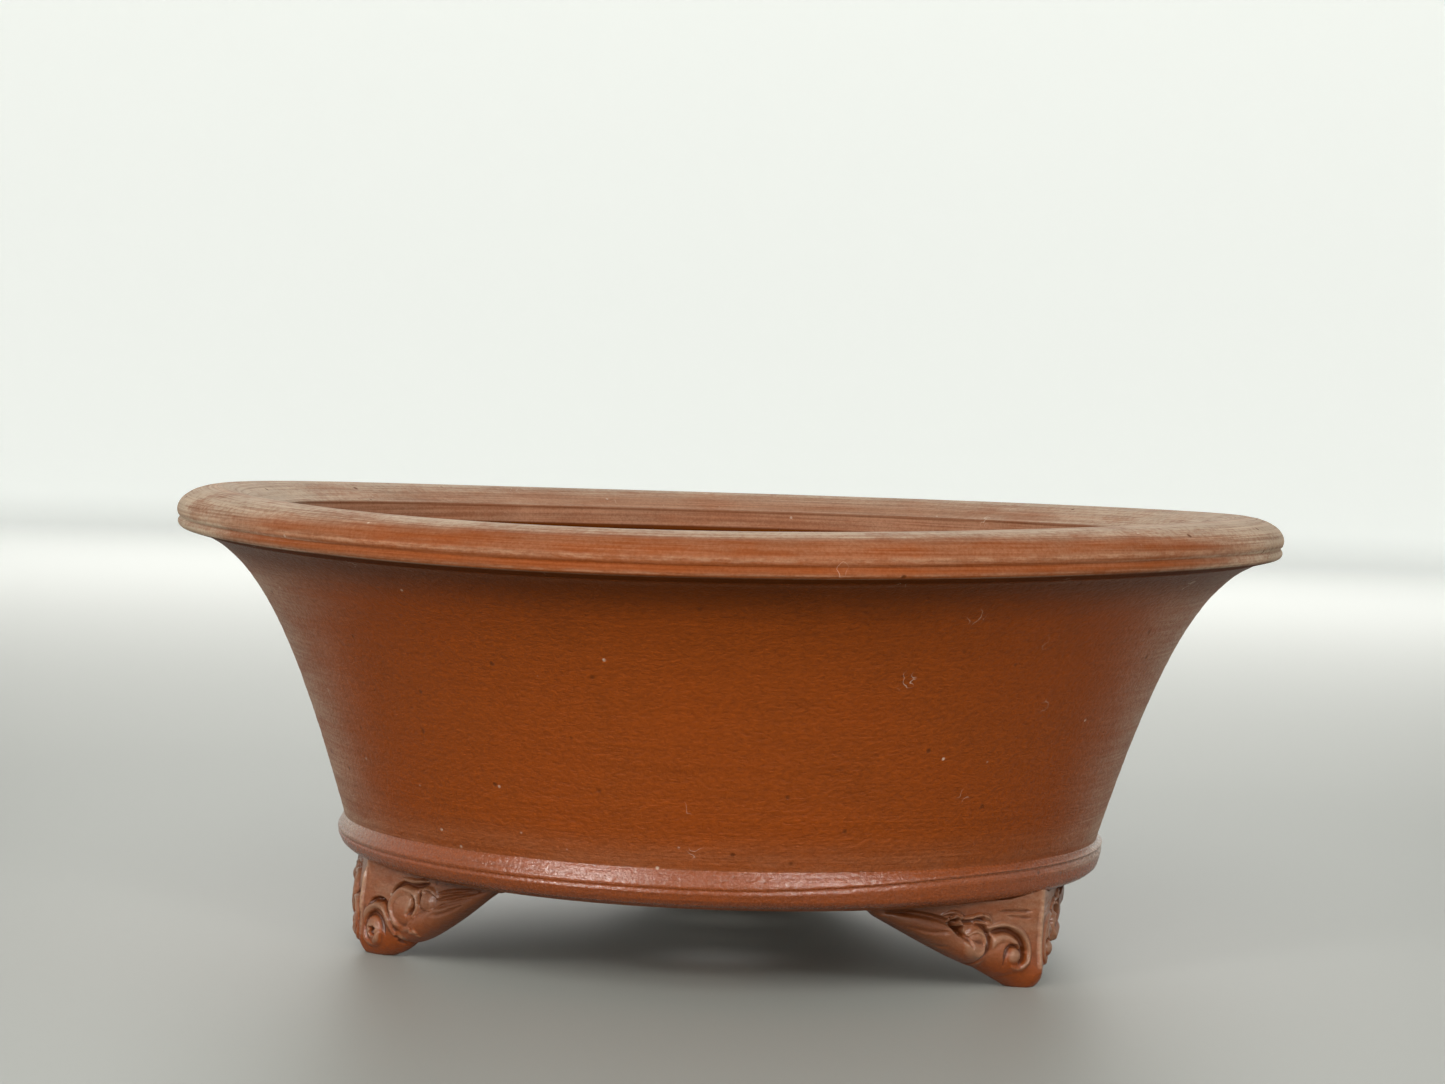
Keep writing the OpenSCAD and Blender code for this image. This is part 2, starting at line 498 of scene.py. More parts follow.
def with_marks(look, colour):
    """Painted shade in the hollows of the carving and pale ridges on it, then painted shade and pale lines of
    wear and painted highlight where the mesh names them.
    """
    carved = look.attribute("carving")
    colour = look.blend(look.ramp(carved, -0.02, -0.22, 0.0, 0.95), colour, HOLLOW_SHADE)
    colour = look.blend(look.ramp(carved, 0.03, 0.25, 0.0, 0.75), colour, FILM)
    colour = look.blend(look.attribute("shaded"), colour, SHADE)
    broken = look.ramp(look.noise(1.2, 4.0, (0.25, 0.25, 1.0), None, 0.8), 0.35, 0.65, 0.2, 1.0)
    return look.blend(look.times(look.attribute("worn"), broken), colour, WEAR_AND_HIGHLIGHT)


def with_specks(look, noise, colour, pits):
    """Pits darkened with painted shade, and pale lint in dots and in short hairs."""
    dots = look.times(look.specks(0.35, 0.3, 0.2), look.ramp(noise.grit, 0.4, 0.5))
    winding = look.math("ABSOLUTE", look.math("SUBTRACT", look.noise(0.5, 1.0), 0.5))
    hairs = look.times(look.ramp(winding, 0.012, 0.004), look.specks(0.12, 1.6, 0.5))
    # The pits are darkened with painted shade.
    colour = look.blend(look.times(pits, 0.8), colour, SHADE)
    return look.blend(look.times(look.math("MAXIMUM", dots, hairs), 0.45), colour, LINT)


def clay(name, film, film_and_highlight_rise=None, inside_film_and_light=0.0, dust_sheen=(0.8, 1.0, 0.1), dust_sheen_rise=None,
         lines=1.0, lines_fade=None, gloss=0.1, rough=(0.38, 0.6), speckle=0.0):
    """Unglazed clay: turning lines, grain, pits and lint, with a film and dust on it, and painted shade,
    sheen and highlight.

    Film is the share of the film, which thickens between the two heights of film_and_highlight_rise and there
    also stands for a painted highlight, and inside_film_and_light is the same on faces that look inwards,
    where it also stands for painted light. The dust_sheen is how dust and a painted sheen show at glancing
    angles: where they start, where they end and their share there; they thicken between the two heights of
    dust_sheen_rise.
    Lines fade to a third between the two heights of lines_fade. The mesh says where the clay has painted
    shade, where it is worn pale with a painted highlight (0 to 1), and how far its carving stands out from
    the clay round it (in millimetres)."""
    look = Shading(name)
    noise = ClayNoise(look)
    pits = look.specks(0.3, 0.45, 0.25)
    if lines_fade is not None:
        lines = look.ramp(look.z, *lines_fade, lines, 0.3 * lines)

    colour = look.blend(look.ramp(noise.blotches, 0.3, 0.8, 0.0, 0.7), WARM, DEEP)
    colour = with_film(look, noise, colour, film, film_and_highlight_rise, inside_film_and_light)
    colour = with_dust_and_sheen(look, noise, colour, dust_sheen, dust_sheen_rise)
    colour = with_marks(look, colour)
    colour = with_specks(look, noise, colour, pits)
    colour = look.blend(1.0, colour, lightness(look, noise, lines, speckle), "MULTIPLY")
    look.plug(look.shader.inputs["Base Color"], colour)
    look.plug(look.shader.inputs["Roughness"], look.ramp(noise.grain, 0.3, 0.75, *rough))
    look.shader.inputs["Specular IOR Level"].default_value = gloss
    relief = look.add(look.times(noise.grain, 0.5), look.times(look.times(noise.turning, 0.9), lines),
                      look.times(look.times(noise.fine_turning, 0.6), lines), look.times(noise.grit, speckle))
    look.bumps(look.math("SUBTRACT", relief, look.times(pits, 0.8)), 0.07)
    return look.material


def lip_clay():
    """Dull and dusty, with a strong painted sheen at glancing angles and strong turning lines."""
    return clay("lip_clay", 0.75, film_and_highlight_rise=(JOINT_Z - 3, LIP_TOP), inside_film_and_light=0.8, dust_sheen=(0.4, 0.9, 1.6),
                lines=1.5, gloss=0.05, rough=(0.6, 0.8), speckle=0.8)


def wall_clay():
    """Nearly bare clay with a leathery grain, a pale streaky film near the band that is painted highlight at
    its foot, and with its turning lines mostly near the band.
    """
    return clay("wall_clay", 0.35, film_and_highlight_rise=(BAND_TOP + 5, BAND_TOP - 1), inside_film_and_light=1.0,
                dust_sheen=(0.5, 1.0, 0.7), lines_fade=(BAND_TOP + 3, BAND_TOP + 12), gloss=0.12,
                rough=(0.4, 0.55), speckle=3.0)


def band_clay():
    """Burnished clay that shines, with dust and a painted sheen only on its shoulder."""
    return clay("band_clay", 0.1, film_and_highlight_rise=(BAND_TOP - 4, BAND_TOP - 1), dust_sheen=(0.45, 0.95, 0.75),
                dust_sheen_rise=(BAND_TOP - 3.0, BAND_TOP - 2.4), lines=1.2, gloss=0.55, rough=(0.2, 0.34),
                speckle=2.2)


def floor_clay():
    """Filmed over on the top face, plain below."""
    return clay("floor_clay", 0.4, inside_film_and_light=1.0)


def foot_clay():
    """Smooth clay, pale where its carving is raised and paler higher up as a partly painted highlight, with
    painted shade in the hollows of its carving.
    """
    return clay("foot_clay", 0.8, film_and_highlight_rise=(2.0, 9.0), lines=0.15, gloss=0.35, rough=(0.3, 0.5), speckle=1.2)


# ---------------------------------------------------------------- the pot's round pieces

# The hand-made lip isn't quite level: it leans, is a little saddle-shaped and has a slight three-fold wave.
# Each pair is the share that follows the cosine and the sine of the direction.
LEAN = (0.0043, -0.0011)
SADDLE = (0.68, -0.25)
WAVE = (-0.155, -0.142)
LEVEL_Z = 15.0


def hand_made(theta, r, z):
    """How far the clay has sagged or lifted at a place, in millimetres."""
    share = np.clip((z - LEVEL_Z) / (LIP_TOP - LEVEL_Z), 0, None)
    seen = theta - (CAMERA_AZIMUTH - math.radians(270))
    lift = r * (LEAN[0] * np.cos(seen) + LEAN[1] * np.sin(seen))
    lift += SADDLE[0] * np.cos(2 * seen) + SADDLE[1] * np.sin(2 * seen)
    lift += WAVE[0] * np.cos(3 * seen) + WAVE[1] * np.sin(3 * seen)
    return share * lift


def revolved(name, outline, segments, material, node, slot, lines=0.02, drift=None, **looks):
    """A closed ring turned from an outline of (radius, height) points that runs anticlockwise.

    Drift lifts or lowers places on it. Looks hold an attribute's value at each point of the outline."""
    theta = np.linspace(0, 2 * math.pi, segments, endpoint=False)
    along = arc_lengths(np.concatenate([outline, outline[:1]]))[:-1]
    ahead, behind = np.roll(outline, -1, 0), np.roll(outline, 1, 0)
    slope = (ahead - behind) / np.linalg.norm(ahead - behind, axis=1)[:, None]
    normal = np.stack([slope[:, 1], -slope[:, 0]], 1)
    u, v = np.meshgrid(along, theta, indexing="ij")
    turning = lattice_noise(u / 0.55, v / (2 * math.pi) * 9, 11, 9)
    turning += 0.8 * lattice_noise(u / 1.7, v / (2 * math.pi) * 5, 12, 5)
    push = lines * turning
    r = outline[:, 0][:, None] + normal[:, 0][:, None] * push
    z = outline[:, 1][:, None] + normal[:, 1][:, None] * push
    if drift is not None:
        z = z + drift(v, z)
    z = z + hand_made(v, r, z)
    points = np.stack([r * np.cos(v), r * np.sin(v), z], -1).reshape(-1, 3)
    piece = new_piece(name, points, grid_faces(len(outline), segments, True), material, node,
                      {key: np.repeat(values, segments) for key, values in looks.items()})
    return piece


def lip_outline():
    """From the joint out under the bead and the groove, over the roll and the top, and down inside."""
    inner = (NECK_IN_R - 0.1, LIP_TOP - 2.7)
    roll_h = 3
    under = [(NECK_R, JOINT_Z), (LIP_R - 0.6, JOINT_Z + 0.7), (LIP_R - 0.25, JOINT_Z + 1.0),
             (LIP_R - 0.1, JOINT_Z + 1.5), (LIP_R - 0.3, JOINT_Z + 1.85), (LIP_R - 0.55, JOINT_Z + 2.05),
             (LIP_R - 0.15, JOINT_Z + 2.3), (LIP_R - 0.02, JOINT_Z + 2.8)]
    roll = ellipse((CREST_R, LIP_TOP - roll_h), CREST_IN, roll_h, 0, 90, 24)
    top = bezier((CREST_R, LIP_TOP), (CREST_R - 2.5, LIP_TOP), (inner[0] + 1.8, inner[1] + 0.8), inner, 24)
    back = [(inner[0] + 0.05, inner[1] - 0.5), (NECK_IN_R, JOINT_Z)]
    points = np.concatenate([under, roll, top[1:], back, under[:1]])
    return resampled(rounded(points, 0.15, 4), 0.25)[:-1]


def rim_lip():
    """The lip, with painted shade under its bead and at its inner corner, and pale lines of wear and painted
    highlight round its edges.
    """
    outline = lip_outline()
    r, z = outline.T
    # Painted shade under the bead, and a thin line of painted shade at the inner corner.
    shaded = smooth_step((JOINT_Z + 0.9 - z) / 0.3)
    shaded += 0.8 * peak(z, LIP_TOP - 2.8, 0.15) * (r < NECK_R - 8)
    # Pale lines of wear and painted highlight along the roll's lower edge, the bead's lower edge and the
    # crest.
    worn = 0.6 * peak(z, JOINT_Z + 2.9, 0.35) + 0.5 * peak(z, JOINT_Z + 1.15, 0.15)
    worn *= r > LIP_R - 1
    worn += 0.6 * peak(r, LIP_R - 5.0, 0.5) * (z > LIP_TOP - 1)
    revolved("lip_ring", outline, 720, lip_clay(), "rim_lip", "lip_clay", shaded=shaded, worn=worn)


def wall_outline():
    """Up the outer face and down the inner one, with a foot that reaches down behind the band's edge."""
    outer = bezier((FOOT_R, BAND_TOP), (FOOT_R + 6.2, BAND_TOP + 20), (NECK_R - 8.5, JOINT_Z - 3.3),
                   (NECK_R, JOINT_Z), 60)
    inner = bezier((NECK_IN_R, JOINT_Z), (NECK_IN_R - 9.6, JOINT_Z - 9.6), (FOOT_IN_R + 1.4, FLOOR_Z + 7),
                   (FOOT_IN_R, FLOOR_Z + 2), 60)
    step_z = BAND_TOP - 1.5
    seat = [(FOOT_IN_R, FLOOR_Z), (SLAB_R, FLOOR_Z), (SLAB_R, step_z), (FOOT_R - 0.4, step_z)]
    return resampled(np.concatenate([seat, outer, inner, seat[:1]]), 0.45)[:-1]


def pot_wall():
    """The wall, with painted shade on its outer face under the lip."""
    outline = wall_outline()
    r, z = outline.T
    is_outer = r > np.interp(z, (FLOOR_Z, JOINT_Z), (FOOT_R, NECK_R)) - 0.9 * WALL_T
    # Painted shade on the outer face under the lip.
    shaded = 0.75 * smooth_step((z - JOINT_Z + 6) / 5.5) * is_outer
    revolved("wall_shell", outline, 420, wall_clay(), "pot_wall", "wall_clay", shaded=shaded)


def band_outline():
    """From its lower inner edge up over the bevel, the line and the shoulder, which ends inside the wall."""
    low = BAND_LOW[2]
    edge_z = BAND_TOP + 0.35
    points = [(SLAB_R, low), (BAND_R - 1.2, low + 0.25), (BAND_R - 0.6, low + 0.8), (BAND_R - 0.2, low + 1.6),
              (BAND_R - 0.05, LINE_Z - 0.3), (BAND_R - 0.35, LINE_Z), (BAND_R, LINE_Z + 0.3),
              (BAND_R - 0.05, LINE_Z + 0.9), (FOOT_R - 0.3, edge_z), (SLAB_R, edge_z), (SLAB_R, low)]
    return resampled(rounded(points, 0.25, 4), 0.2)[:-1]


def band_drift(theta, z):
    """How far the band's top edge sinks at its two ends, and its line rises towards the photo's right."""
    across = np.sin(theta - CAMERA_AZIMUTH)
    sink = 0.3 + 0.6 * across**4
    rise = 1.4 * smooth_step(1.4 * across)
    low = BAND_LOW[2] + 0.8
    above = np.clip((z - LINE_Z) / (BAND_TOP - LINE_Z), 0, 1)
    below = np.clip((z - low) / (LINE_Z - low), 0, 1)
    return rise * np.where(z < LINE_Z, below, 1 - above) - sink * above


def base_band():
    revolved("band_ring", band_outline(), 720, band_clay(), "base_band", "band_clay", drift=band_drift)


# ---------------------------------------------------------------- the floor slab

def slab_outline():
    """Round the slab's section from the drain hole's lower edge, with both edges of the hole rounded."""
    soft = 0.9
    drain_low = ellipse((DRAIN_R + soft, UNDER_Z + soft), soft, soft, 180, 270, 6)
    drain_top = ellipse((DRAIN_R + soft, FLOOR_Z - soft), soft, soft, 90, 180, 6)
    rim = [(SLAB_R - SLAB_BEVEL[0], UNDER_Z), (SLAB_R, UNDER_Z + SLAB_BEVEL[1]), (SLAB_R, FLOOR_Z - 0.3),
           (SLAB_R - 0.3, FLOOR_Z)]
    outline = np.concatenate([drain_low, rim, drain_top])
    return resampled(np.concatenate([outline, outline[:1]]), 0.6)[:-1]


def wire_hole_profile():
    """A rod that flares at both faces of the slab, with height 0 at the slab's middle."""
    flare = 0.6
    half = (FLOOR_Z - UNDER_Z) / 2
    mouth = ellipse((WIRE_R + flare, flare), flare, flare, 270, 180, 6)
    low = [(0, -half - 1), (WIRE_R + flare, -half - 1)]
    high = [(WIRE_R + flare, half + 1), (0, half + 1)]
    return np.concatenate([low, mouth + (0, -half), (mouth * (1, -1) + (0, half))[::-1], high])


def floor_slab():
    """A disc with rounded holes cut through it: one drain hole and the tie wire holes round it."""
    slab = revolved("floor_disc", slab_outline(), 360, floor_clay(), "floor_slab", "floor_clay", lines=0.03)
    profile = wire_hole_profile()
    for k in range(WIRE_COUNT):
        turn = math.radians(45 + k * 360 / WIRE_COUNT)
        across = WIRE_CIRCLE_R * np.array([math.cos(turn), math.sin(turn)])
        cut_hole(slab, profile, np.array([*across, (UNDER_Z + FLOOR_Z) / 2]))


def cut_hole(piece, profile, centre, segments=48):
    """Takes a turned shape away from a piece."""
    theta = np.linspace(0, 2 * math.pi, segments, endpoint=False)
    rings = profile[1:-1]
    points = [(r * math.cos(t), r * math.sin(t), z) for r, z in rings for t in theta]
    faces = grid_faces(len(rings), segments, False).tolist() + end_faces(len(rings), segments)
    mesh = bpy.data.meshes.new("cutter")
    mesh.from_pydata(((np.array(points) + centre) * MM).tolist(), [], faces)
    cutter = bpy.data.objects.new("cutter", mesh)
    bpy.context.scene.collection.objects.link(cutter)
    cut = piece.modifiers.new("cut", "BOOLEAN")
    cut.operation = "DIFFERENCE"
    cut.solver = "EXACT"
    cut.object = cutter
    shown = piece.evaluated_get(bpy.context.evaluated_depsgraph_get())
    result = bpy.data.meshes.new_from_object(shown)
    piece.modifiers.remove(cut)
    piece.data = result
    result.set_sharp_from_angle(angle=math.radians(50))
    bpy.data.objects.remove(cutter)


# ---------------------------------------------------------------- the carved feet

RIDGE_R = node_box("foot_rear")[1][1]
FOOT_TOP = node_box("foot_rear")[1][2]
# Length of a wing, as in part.scad
WING = 27.0
# How softly the wings meet at the ridge, on the outer face and in the directions that lead into the foot
RIDGE_SOFT = 0.35
CORE_SOFT = 8.0
# How far a foot runs up into the slab and the band
EMBEDDED = 0.25

# What is carved on each wing, as curves of (distance from the ridge, height above the table).
# Each ridge and groove is (half width, height, points); each ball is (centre, half sizes, height).
SCROLL = {
    "edges": [((0.8, 0), (3.2, 0.9), (8.0, 3.1)), ((8.0, 3.1), (13.3, 4.3), (26.4, 11.6))],
    "leaf": [(8.3, 5.2), (9.3, 6.3), (10.8, 6.8), (12.4, 7.7), (15.3, 9.5), (19.8, 10.7), (24.5, 11.3)],
    "leaf_height": 0.8,
    "balls": [((10.5, 6.7), (2.1, 1.95), 0.6), ((6.2, 4.4), (3.4, 2.5), 0.45), ((4.4, 4.6), (1.1, 1.0), 0.5),
              ((13.4, 9.0), (0.9, 0.6), 0.5)],
    "ridges": [
        (0.5, 0.4, [(8.6, 8.3), (7.0, 8.6), (5.3, 8.5), (3.6, 7.8), (2.4, 6.6), (1.8, 5.0), (2.1, 3.6),
                    (3.4, 2.9), (4.7, 3.3)]),
        (0.7, 0.35, [(8.6, 5.4), (7.6, 6.5), (6.2, 7.0), (4.9, 6.8), (3.9, 6.2), (3.3, 5.4)]),
        (0.45, 0.45, [(15.8, 10.4), (14.5, 10.7), (13.3, 10.4), (12.5, 9.8), (11.2, 9.9), (9.9, 10.1),
                      (8.6, 9.7), (7.9, 9.0)]),
        (0.35, 0.7, [(14.6, 9.4), (14.0, 10.0), (13.2, 9.8), (12.9, 9.2), (13.4, 8.8)]),
        (0.35, 0.25, [(11.8, 7.6), (10.6, 8.1), (9.4, 7.4), (9.2, 6.2), (10.1, 5.4), (11.2, 5.9)]),
        (0.4, 0.35, [(0, 11.3), (0, 8.0), (0, 4.5), (0, 2.0)]),
    ],
    "grooves": [
        (0.6, 0.5, [(9.0, 7.5), (7.3, 7.8), (5.6, 7.8), (4.2, 7.2), (3.1, 6.2), (2.5, 5.0), (2.7, 4.0),
                    (3.5, 3.6)]),
        (0.6, 0.5, [(3.0, 5.6), (2.8, 4.7), (3.2, 4.0)]),
        (0.55, 0.6, [(10.8, 9.0), (9.3, 8.5), (8.4, 7.3), (8.2, 6.0), (8.9, 4.9), (9.7, 4.1),
                     (10.4, 3.6), (10.9, 3.1)]),
        (0.9, 1.2, [(14.4, 9.8), (13.6, 8.9), (12.5, 7.8)]),
        (0.5, 0.5, [(11.3, 6.4), (12.4, 7.5), (15.3, 9.6), (19.8, 10.8), (24.5, 11.4)]),
        (0.45, 0.5, [(14.2, 10.2), (12.9, 9.5), (11.4, 9.3), (10.0, 9.5), (8.9, 9.1)]),
        (0.35, 0.25, [(1.6, 10.1), (4.0, 10.2), (7.0, 10.4)]),
        (0.3, 0.2, [(1.6, 9.2), (3.5, 9.4), (5.5, 9.7)]),
        (0.3, 0.2, [(14.5, 8.2), (17.5, 8.6), (21.0, 9.6)]),
        (0.3, 0.15, [(14.5, 6.6), (17.0, 7.0), (20.0, 8.6)]),
        (0.35, 0.45, [(5.8, 3.6), (5.8, 5.0), (5.0, 5.8), (3.8, 5.6), (3.2, 4.7), (3.6, 3.7)]),
    ],
}
CURLS = {
    "edges": [((1.8, 0), (5.2, 0.3), (8.0, 2.6)), ((8.0, 2.6), (12.8, 3.1), (26.2, 11.6))],
    "leaf": [(6.5, 4.0), (9.0, 4.8), (12.0, 6.8), (15.5, 8.2), (20.0, 10.2), (24.5, 11.3)],
    "leaf_height": 0.45,
    "balls": [((3.1, 3.7), (1.7, 1.7), 0.7), ((8.7, 7.0), (2.7, 2.3), 0.55), ((13.5, 8.6), (1.6, 1.3), 0.6)],
    "ridges": [
        (0.5, 0.35, [(1.0, 3.6), (1.3, 2.3), (2.5, 1.8), (3.8, 2.3), (4.4, 3.3)]),
        (0.8, 0.6, [(1.0, 4.3), (1.3, 5.4), (2.3, 6.4), (3.5, 6.9), (4.8, 6.7), (5.7, 5.8), (6.2, 4.8),
                    (6.9, 3.6)]),
        (0.75, 0.5, [(10.2, 4.8), (8.2, 4.7), (6.7, 5.7), (6.3, 7.3), (7.3, 8.9), (9.0, 9.6),
                     (10.8, 9.1), (11.5, 7.8), (11.1, 6.4)]),
        (0.45, 0.45, [(12.2, 9.3), (13.0, 10.1), (14.3, 10.1), (15.3, 9.4)]),
        (0.4, 0.35, [(8.0, 10.9), (9.8, 10.8), (11.2, 10.9), (13.0, 11.2)]),
        (0.4, 0.35, [(0, 11.3), (0, 8.0), (0, 5.5)]),
        (0.2, 0.3, [(11.8, 4.0), (10.9, 4.5), (9.9, 4.4)]),
        (0.2, 0.3, [(11.6, 4.5), (10.9, 4.9)]),
    ],
    "grooves": [
        (0.85, 1.0, [(2.7, 3.7), (3.4, 3.1)]),
        (0.4, 0.25, [(1.6, 4.6), (2.2, 5.4), (3.2, 5.7), (4.3, 5.2), (5.0, 4.2), (5.4, 3.2)]),
        (0.5, 0.6, [(1.5, 6.5), (2.5, 7.3), (3.9, 7.6), (5.1, 7.2), (6.0, 6.3), (6.9, 5.0)]),
        (0.5, 0.5, [(3.2, 7.4), (4.3, 7.6)]),
        (0.6, 0.9, [(10.6, 8.9), (10.9, 8.0), (10.7, 7.2), (10.0, 6.5)]),
        (0.45, 0.6, [(5.9, 8.0), (6.8, 9.4), (8.3, 10.2), (10.3, 10.1), (11.9, 10.4), (13.4, 10.9)]),
        (0.5, 0.6, [(12.1, 8.0), (11.9, 9.0), (12.2, 9.8)]),
        (0.35, 0.9, [(6.9, 2.7), (7.5, 2.5)]),
        (0.4, 0.35, [(8.4, 2.4), (7.6, 3.0), (6.7, 3.3)]),
        (0.35, 0.35, [(15.4, 9.9), (18.5, 10.6), (23.5, 11.3)]),
        (0.35, 0.35, [(15.2, 9.0), (18.5, 9.9), (23.0, 10.9)]),
        (0.35, 0.3, [(15.2, 8.0), (18.0, 8.9), (22.0, 10.2)]),
        (0.3, 0.25, [(14.6, 7.0), (17.0, 7.7), (20.5, 9.2)]),
    ],
}

# Each foot: its direction; the rounding under its toe (depth at the ridge, depth beside it, height); its
# carving; how far it flares out at its sole, half way up and at its top; and for the wing on each side the
# angle between it and the line to the pot's axis, and how far its face bulges.
FEET = {
    "foot_left": {
        "azimuth": 210,
        "toe": (1.5, 2.4, 2.6),
        "design": CURLS,
        "flare": (0.45, 0.35, -0.3),
        "sides": {1: (69.9, 0.0), -1: (74.0, 0.35)},
    },
    "foot_right": {
        "azimuth": 330,
        "toe": (2.8, 3.0, 2.6),
        "design": SCROLL,
        "flare": (1.1, 0.3, 0.7),
        "sides": {1: (65.5, 0.3), -1: (67.2, 0.2)},
    },
    "foot_rear": {
        "azimuth": 90,
        "toe": (2.8, 3.0, 2.6),
        "design": SCROLL,
        "flare": (1.0, 0.4, 0.5),
        "sides": {1: (68.0, 0.3), -1: (68.0, 0.3)},
    },
}


def smooth_curve(points, steps=8):
    """A curve that passes smoothly through a few points."""
    points = np.array(points, float)
    points = np.concatenate([2 * points[:1] - points[1:2], points, 2 * points[-1:] - points[-2:-1]])
    t = np.linspace(0, 1, steps, endpoint=False)[:, None]
    out = []
    for a, b, c, d in zip(points[:-3], points[1:-2], points[2:-1], points[3:]):
        out.append(b + 0.5 * t * (c - a + t * (2 * a - 5 * b + 4 * c - d + t * (3 * (b - c) + d - a))))
    return np.concatenate(out + [points[-2:-1]])


def stroke(relief, s, z, points, half_width, height):
    """Adds a rounded ridge, or a groove if the height is negative, along a curve."""
    curve = smooth_curve(points)
    low, high = curve.min(0) - half_width, curve.max(0) + half_width
    near = np.nonzero((s > low[0]) & (s < high[0]) & (z > low[1]) & (z < high[1]))
    place = np.stack([s[near], z[near]], -1)[:, None]
    step = np.diff(curve, axis=0)
    t = np.clip(((place - curve[:-1]) * step).sum(-1) / (step**2).sum(-1), 0, 1)
    gap = np.linalg.norm(place - curve[:-1] - t[..., None] * step, axis=-1)
    which = gap.argmin(1)
    rows = np.arange(len(which))
    share = (which + t[rows, which]) / len(step)
    swell = 0.45 + 0.55 * smooth_step(np.minimum(share, 1 - share) / 0.2)
    bump = np.clip(1 - (gap[rows, which] / (half_width * swell)) ** 2, 0, 1) ** 1.5
    relief[near] += height * swell * bump


def carving(design, s, z):
    """How far the face of a wing stands out at places along it and up it."""
    relief = np.zeros(s.shape)
    for centre, half, height in design["balls"]:
        away = ((s - centre[0]) / half[0]) ** 2 + ((z - centre[1]) / half[1]) ** 2
        relief += height * np.clip(1 - away, 0, 1) ** 0.75
    for half_width, height, points in design["ridges"]:
        stroke(relief, s, z, points, half_width, height)
    for half_width, height, points in design["grooves"]:
        stroke(relief, s, z, points, half_width, -height)
    return relief


def standing_out(grid, reach, rounds=3):
    """How far each value of a grid is above the mean of the values round it."""
    mean = grid
    for axis in (0, 1) * rounds:
        mean = sum(np.roll(mean, k, axis) for k in range(-reach, reach + 1)) / (2 * reach + 1)
    return grid - mean


def leaf(design, s, z, bottom):
    """How far the plump leaf along the lower edge of a wing stands out."""
    edge = smooth_curve(design["leaf"])
    top = np.interp(s, edge[:, 0], edge[:, 1])
    across = np.clip((z - bottom) / np.maximum(top - bottom, 0.2), 0, 1)
    fade = smooth_step((s - edge[0, 0]) / 1.5) * smooth_step((WING - s) / 6)
    return design["leaf_height"] * fade * (4 * across * (1 - across)) ** 0.7


def wing_plan(sides, s, soft):
    """Place and outward direction on the outer line of a foot that points along +X."""
    along = {}
    for side, (angle, bulge) in sides.items():
        a = math.radians(angle)
        along[side] = np.array([-math.cos(a), side * math.sin(a)])
    even = (along[1] + along[-1]) / 2
    odd = (along[1] - along[-1]) / 2
    root = np.sqrt(s**2 + soft**2)
    place = np.array([RIDGE_R, 0]) + even * (root - soft)[:, None] + odd * s[:, None]
    slope = even * (s / root)[:, None] + odd
    slope /= np.linalg.norm(slope, axis=1)[:, None]
    return place, np.stack([slope[:, 1], -slope[:, 0]], 1)


def lower_edge(design, reach):
    """Height of a foot's lower edge, which is made of lobes that meet in cusps."""
    lobes = []
    for edge in design["edges"]:
        a, b, c = (np.array(point, float) for point in edge)
        lobes.append(bezier(a, a + (b - a) * 2 / 3, c + (b - c) * 2 / 3, c, 12))
    line = np.concatenate(lobes)
    return np.interp(reach, line[:, 0], line[:, 1])


def foot_sections(reach, bottom, top, toe):
    """A closed loop at each place along the wings: down the face, round its lower edge, and up the back.

    Gives the heights, the distances in from the face, and how much of the relief pushes each point out and
    down."""
    thick = np.interp(reach, [0, 9, 20, WING], [8.0, 6.5, 4.5, 2.2])
    depth = np.interp(reach, [0, 5, 8, 12, WING], [toe[0], toe[1], toe[1], 2.2, 0.9])
    tall = np.interp(reach, [0, 5, 8, 12, WING], [toe[2], toe[2], 4.0, 2.6, 1.6])
    tall = np.minimum(tall, 0.7 * (top - bottom))
    tread = np.interp(reach, [0, 6, WING], [1.6, 0.8, 0.2])
    b, t, d, h, w, f = (v[:, None] for v in (bottom, top, depth, tall, thick, tread))
    back_top = FOOT_TOP + EMBEDDED
    back_h = 0.8 * (back_top - b)

    def stretch(z, inward, out=0.0, down=0.0):
        return np.broadcast_arrays(z, inward, out, down)

    face = np.linspace(1, 0, 92)[None, :-1]
    turn = np.radians(np.linspace(0, 90, 30))[None, :]
    flat = np.linspace(0, 1, 8)[None, 1:-1]
    rise = np.linspace(0, 1, 16)[None, :]
    back = np.linspace(0, 1, 12)[None, 1:]
    lid = np.linspace(0, 1, 7)[None, 1:-1]
    stretches = [
        stretch(b + h + face * (t - b - h), 0.0, 1.0),
        stretch(b + h * (1 - np.sin(turn)), d * (1 - np.cos(turn)), np.cos(turn), np.sin(turn)),
        stretch(b, d + flat * f),
        stretch(b + back_h * rise, d + f + (w - d - f) * (1 - (1 - rise) ** 1.6)),
        stretch(b + back_h + back * (back_top - b - back_h), w),
        stretch(back_top + lid * (t - back_top), w * (1 - lid)),
    ]
    return [np.concatenate(rows, 1) for rows in zip(*stretches)]


def flared_out(flare, z):
    """How far a foot stands out past its plain form: at its sole, half way up and at its top."""
    up = np.clip(z / FOOT_TOP, 0, 1)
    return flare[0] * (1 - up) * (1 - 2 * up) + flare[1] * 4 * up * (1 - up) + flare[2] * up * (2 * up - 1)


def bulged_out(sides, s, share):
    """How far the faces of the wings bulge, at a share of the way up them."""
    bulge = np.where(s > 0, sides[1][1], sides[-1][1])
    along = np.sin(math.pi * np.minimum(1, np.abs(s) / (0.8 * WING)))
    return (bulge * along)[:, None] * np.sin(math.pi * share)


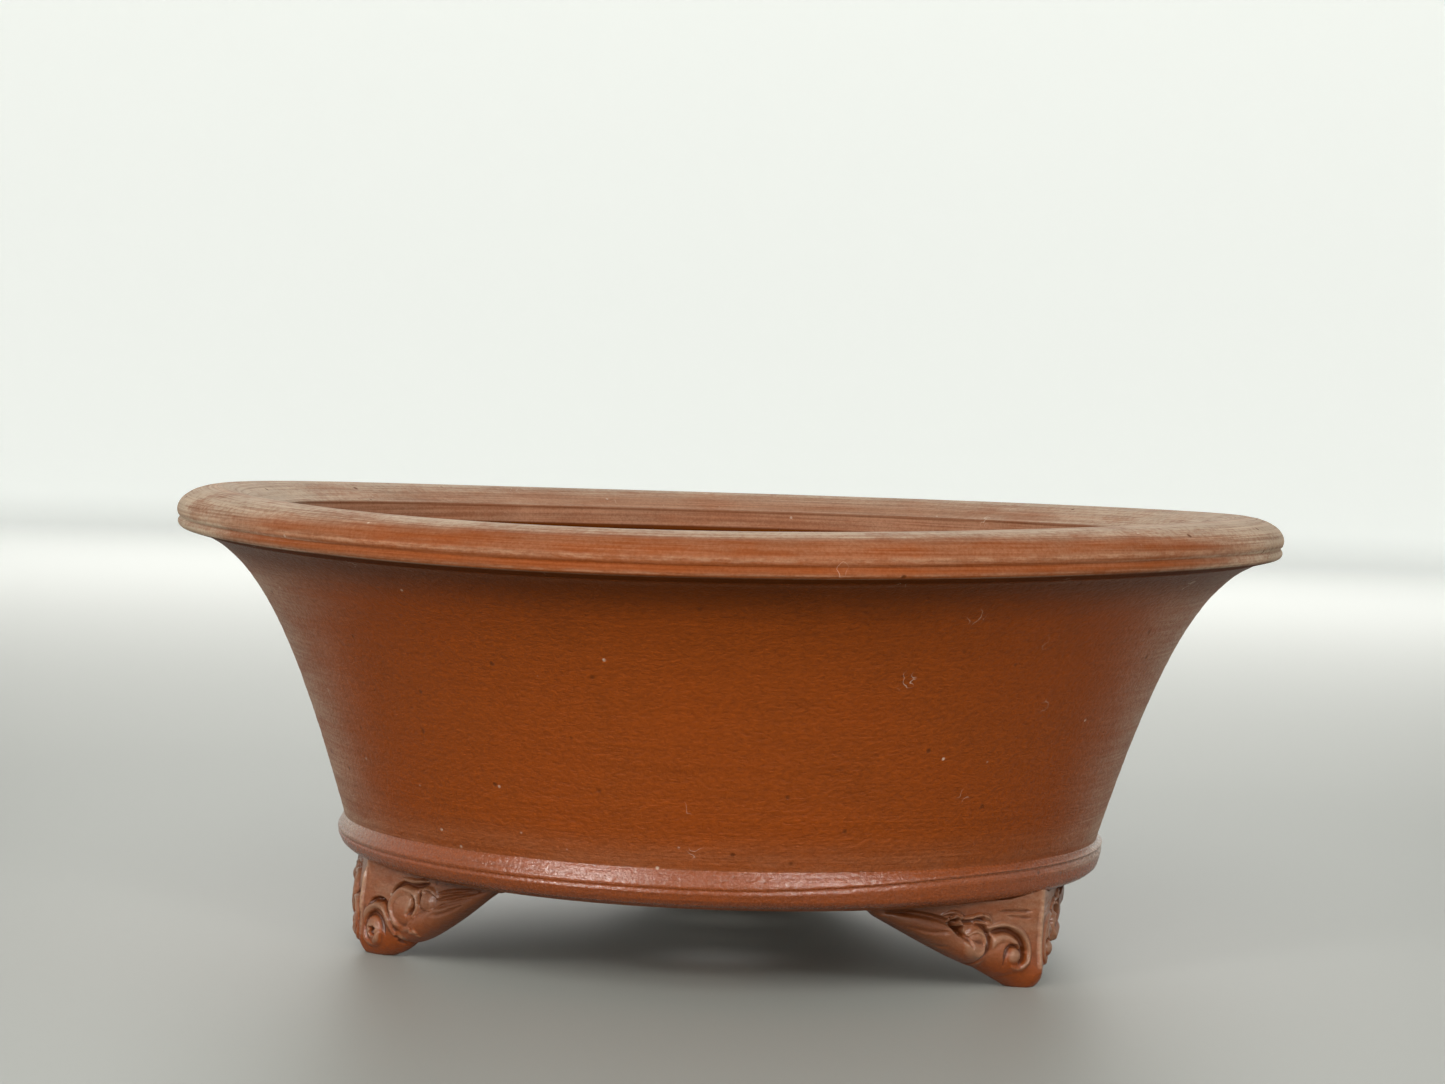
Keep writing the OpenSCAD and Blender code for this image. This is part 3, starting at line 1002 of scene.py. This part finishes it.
def carved_foot(name, node, material):
    foot = FEET[node]
    design, sides = foot["design"], foot["sides"]
    s = np.linspace(-WING, WING, 451)
    reach = np.abs(s)
    place, normal = wing_plan(sides, s, RIDGE_SOFT)
    core = wing_plan(sides, s, CORE_SOFT)[1]
    bottom = np.minimum(lower_edge(design, reach), FOOT_TOP - 0.15)
    # The top follows the slab's bevel and runs a little way into it.
    top = FOOT_TOP + EMBEDDED + 0.58 * np.clip(np.linalg.norm(place, axis=1) - (SLAB_R - 1.2), 0, None)
    z, inward, out, down = foot_sections(reach, bottom, top, foot["toe"])

    along = np.repeat(reach[:, None], z.shape[1], 1)
    b, t = bottom[:, None], top[:, None]
    relief = carving(design, along, z) + leaf(design, along, z, b)
    relief += 0.05 * lattice_noise(s[:, None] / 1.3 + 200, z / 1.1 + 3, 31, 64)
    shown = np.minimum(1, out * 1.6) * smooth_step((t - z) / 0.9)
    form = bulged_out(sides, s, np.clip((z - b) / (t - b), 0, 1)) + flared_out(foot["flare"], z)
    push = (relief * shown + form * (out > 0)) * smooth_step((WING - along) / 2)
    looks = {
        "carving": standing_out(relief * shown, 4),
        # The wings darken away from the ridge: painted shade under the pot.
        "shaded": 0.8 * smooth_step((along - 9) / 10),
        # A pale line of wear and painted highlight along the ridge.
        "worn": 0.7 * peak(along, 0, 0.35) * (z > 2.5) * (out > 0),
    }

    plan = place[:, None] - inward[..., None] * core[:, None] + (push * out)[..., None] * normal[:, None]
    z = np.maximum(z - push * down * 0.6, 0)
    turn_by = math.radians(foot["azimuth"])
    x = plan[..., 0] * math.cos(turn_by) - plan[..., 1] * math.sin(turn_by)
    y = plan[..., 0] * math.sin(turn_by) + plan[..., 1] * math.cos(turn_by)
    points = np.stack([x, y, z], -1).reshape(-1, 3)
    columns = z.shape[1]
    faces = grid_faces(len(s), columns, False).tolist() + end_faces(len(s), columns)
    piece = new_piece(name, points, faces, material, node, looks)


def all_feet():
    material = foot_clay()
    carved_foot("left_scroll_foot", "foot_left", material)
    carved_foot("right_scroll_foot", "foot_right", material)
    carved_foot("rear_scroll_foot", "foot_rear", material)


# ---------------------------------------------------------------- everything together

make_camera()
make_stage()
make_lights()
rim_lip()
pot_wall()
base_band()
floor_slab()
all_feet()
